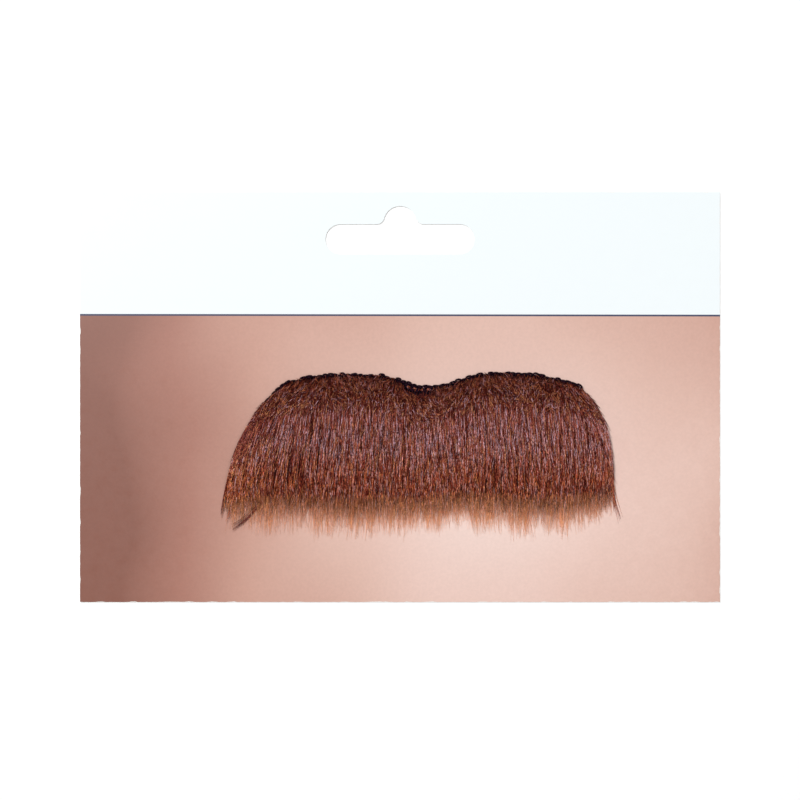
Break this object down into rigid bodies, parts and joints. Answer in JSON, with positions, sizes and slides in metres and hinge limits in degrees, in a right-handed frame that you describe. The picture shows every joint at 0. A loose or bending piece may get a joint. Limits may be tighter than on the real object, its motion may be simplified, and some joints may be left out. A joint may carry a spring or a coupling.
{
  "type": "fake moustache on display card",
  "caption": "Bushy stick-on moustache of combed brown fibre on a knitted ground, stuck to a flat display card with a hanging slot.",
  "frame": {"origin": "middle of the card's back face, which lies on the surface", "axes": "+X along the card's long side to the right as seen from the front, +Y towards the card's top edge with the hanging slot, +Z out of the card's printed front, on which the moustache is stuck"},
  "size_m": [0.16, 0.1024, 0.0091],
  "materials": {
    "coated_board": "satin coated paperboard",
    "knitted_yarn": "knitted near-black yarn",
    "brown_fibre": "glossy combed synthetic fibre"
  },
  "bodies": {
    "root": {"card": "coated_board", "knitted_ground": "knitted_yarn", "hair": "brown_fibre"}
  },
  "joints": []
}
